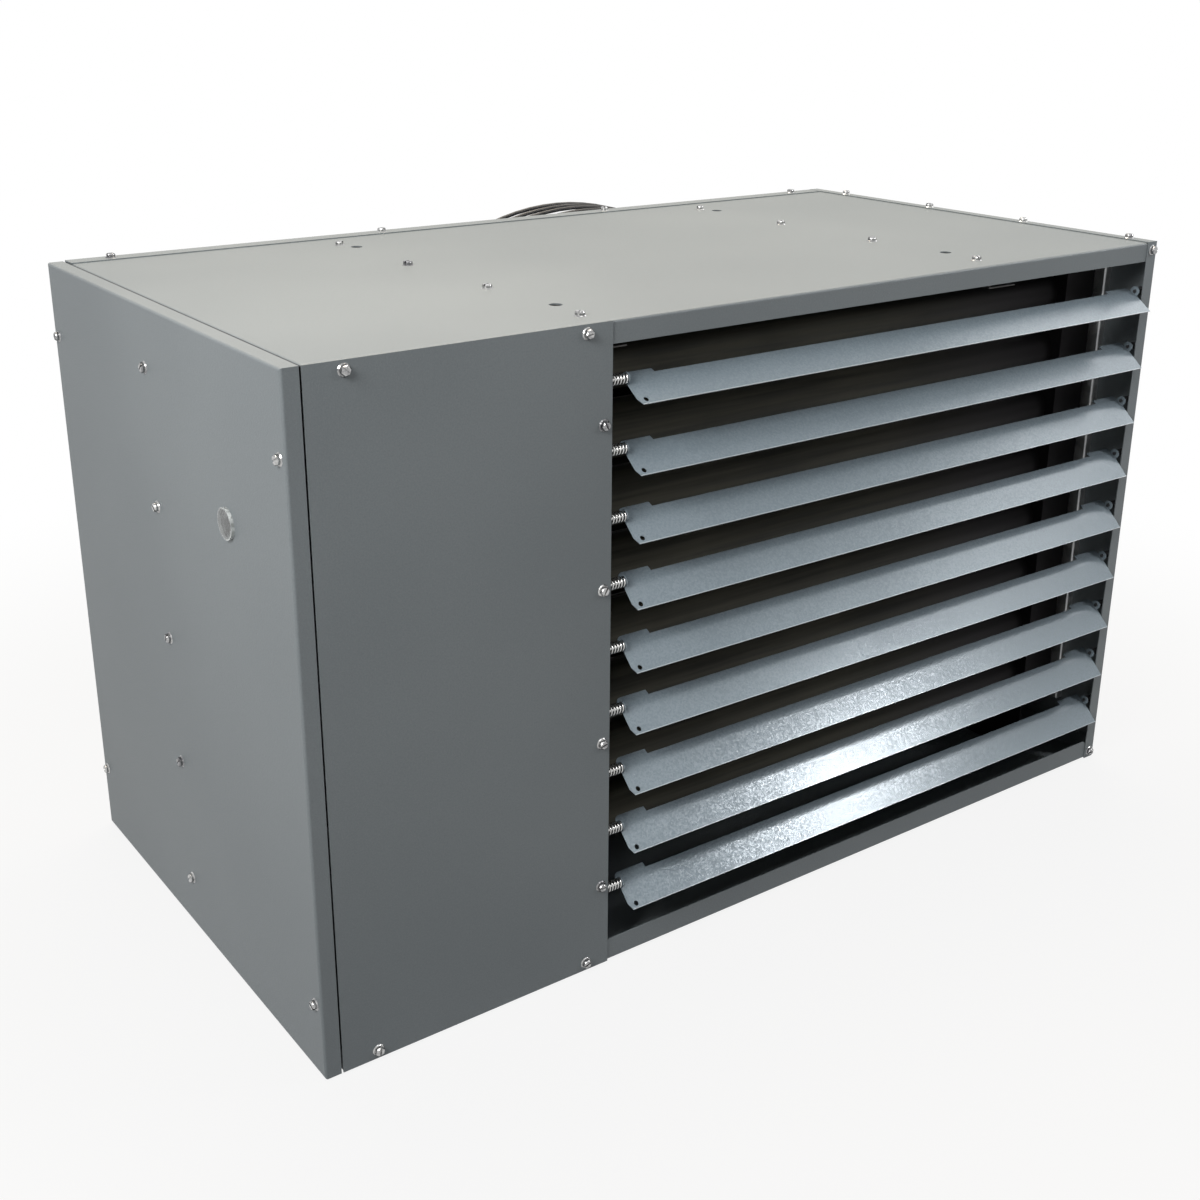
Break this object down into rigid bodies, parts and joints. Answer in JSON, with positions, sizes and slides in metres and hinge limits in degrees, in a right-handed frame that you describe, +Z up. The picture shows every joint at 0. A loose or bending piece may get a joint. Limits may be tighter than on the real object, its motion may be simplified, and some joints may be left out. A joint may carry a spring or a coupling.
{
  "type": "gas unit heater",
  "caption": "Ceiling-hung gas unit heater: sheet-metal cabinet with tilting air louvres, heat exchanger tubes, burner compartment, draft inducer and a guarded fan at the rear.",
  "frame": {"origin": "centre of the cabinet's underside", "axes": "+X to the right along the louvres, +Y to the rear where the fan is, +Z up; air leaves towards -Y"},
  "size_m": [1.0868, 0.704, 0.659],
  "materials": {
    "cabinet_paint": "satin textured",
    "louvre_paint": "satin",
    "galvanised_sheet": "spangled",
    "aluminised_tube": "heat tinted",
    "zinc_steel": "bright",
    "clear_glass": "clear",
    "black_pipe": "matt",
    "brass_spud": "machined",
    "cast_aluminium": "as cast",
    "black_plastic": "matt",
    "ceramic": "glazed",
    "motor_paint": "semi-gloss",
    "circuit_board": "matt",
    "transformer_iron": "varnished",
    "black_rubber": "matt",
    "guard_wire": "gloss"
  },
  "bodies": {
    "cabinet": {"air_intake_collar": "galvanised_sheet", "bottom_panel": "cabinet_paint", "burner_box": "galvanised_sheet", "burner_tubes": "aluminised_tube", "burners": "aluminised_tube", "compartment_divider": "galvanised_sheet", "control_partition": "galvanised_sheet", "corner_post": "galvanised_sheet", "fan_motor": "motor_paint", "fan_venturi": "galvanised_sheet", "flame_sensor": "ceramic", "flue_collector": "aluminised_tube", "flue_tubes": "aluminised_tube", "front_control_panel": "cabinet_paint", "gas_inlet_coupling": "black_pipe", "gas_inlet_pipe": "black_pipe", "gas_manifold": "black_pipe", "gas_orifices": "brass_spud", "gas_valve": "cast_aluminium", "guard_rim": "guard_wire", "guard_rings": "guard_wire", "guard_spokes": "guard_wire", "hanger_rails": "galvanised_sheet", "igniter": "ceramic", "ignition_control": "circuit_board", "inducer_housing": "galvanised_sheet", "inducer_motor": "motor_paint", "left_access_panel": "cabinet_paint", "left_pivot_pins": "zinc_steel", "limit_switches": "zinc_steel", "louvre_springs": "zinc_steel", "motor_mount": "motor_paint", "panel_screws": "zinc_steel", "pressure_hose": "black_rubber", "pressure_switch": "black_plastic", "rear_panel": "cabinet_paint", "return_header": "aluminised_tube", "right_air_liner": "galvanised_sheet", "right_pivot_pins": "zinc_steel", "right_side_panel": "cabinet_paint", "sight_glass": "clear_glass", "top_panel": "cabinet_paint", "transformer": "transformer_iron", "tube_sheet": "aluminised_tube", "vent_duct": "galvanised_sheet", "wiring_bushing": "black_plastic"},
    "fan": {"fan_propeller": "galvanised_sheet", "fan_shaft": "zinc_steel"},
    "inducer_rotor": {"inducer_wheel": "galvanised_sheet"},
    "gas_knob": {"gas_valve_knob": "black_plastic"},
    "louvre_1": {"louvre_1": "louvre_paint"},
    "louvre_2": {"louvre_2": "louvre_paint"},
    "louvre_3": {"louvre_3": "louvre_paint"},
    "louvre_4": {"louvre_4": "louvre_paint"},
    "louvre_5": {"louvre_5": "louvre_paint"},
    "louvre_6": {"louvre_6": "louvre_paint"},
    "louvre_7": {"louvre_7": "louvre_paint"},
    "louvre_8": {"louvre_8": "louvre_paint"},
    "louvre_9": {"louvre_9": "louvre_paint"}
  },
  "joints": [
    {"name": "louvre_1_tilt", "type": "hinge", "parent": "cabinet", "child": "louvre_1", "pos_m": [0, -0.2715, 0.5985], "axis": [-1, 0, 0], "range_deg": [-50, 30]},
    {"name": "louvre_2_tilt", "type": "hinge", "parent": "cabinet", "child": "louvre_2", "pos_m": [0, -0.2715, 0.53369], "axis": [-1, 0, 0], "range_deg": [-45, 35]},
    {"name": "louvre_3_tilt", "type": "hinge", "parent": "cabinet", "child": "louvre_3", "pos_m": [0, -0.2715, 0.46887], "axis": [-1, 0, 0], "range_deg": [-43, 37]},
    {"name": "louvre_4_tilt", "type": "hinge", "parent": "cabinet", "child": "louvre_4", "pos_m": [0, -0.2715, 0.40406], "axis": [-1, 0, 0], "range_deg": [-40, 40]},
    {"name": "louvre_5_tilt", "type": "hinge", "parent": "cabinet", "child": "louvre_5", "pos_m": [0, -0.2715, 0.33925], "axis": [-1, 0, 0], "range_deg": [-41, 39]},
    {"name": "louvre_6_tilt", "type": "hinge", "parent": "cabinet", "child": "louvre_6", "pos_m": [0, -0.2715, 0.27444], "axis": [-1, 0, 0], "range_deg": [-41, 39]},
    {"name": "louvre_7_tilt", "type": "hinge", "parent": "cabinet", "child": "louvre_7", "pos_m": [0, -0.2715, 0.20963], "axis": [-1, 0, 0], "range_deg": [-41, 39]},
    {"name": "louvre_8_tilt", "type": "hinge", "parent": "cabinet", "child": "louvre_8", "pos_m": [0, -0.2715, 0.14481], "axis": [-1, 0, 0], "range_deg": [-40, 40]},
    {"name": "louvre_9_tilt", "type": "hinge", "parent": "cabinet", "child": "louvre_9", "pos_m": [0, -0.2715, 0.08], "axis": [-1, 0, 0], "range_deg": [-41, 39]},
    {"name": "fan_spin", "type": "hinge", "parent": "cabinet", "child": "fan", "pos_m": [0.1565, 0.2245, 0.327], "axis": [0, 1, 0], "continuous": true},
    {"name": "inducer_spin", "type": "hinge", "parent": "cabinet", "child": "inducer_rotor", "pos_m": [-0.3447, 0.09049, 0.3924], "axis": [1, 0, 0], "continuous": true},
    {"name": "gas_knob_turn", "type": "hinge", "parent": "cabinet", "child": "gas_knob", "pos_m": [-0.4432, -0.04951, 0.107], "axis": [-1, 0, 0], "range_deg": [0, 90]}
  ]
}
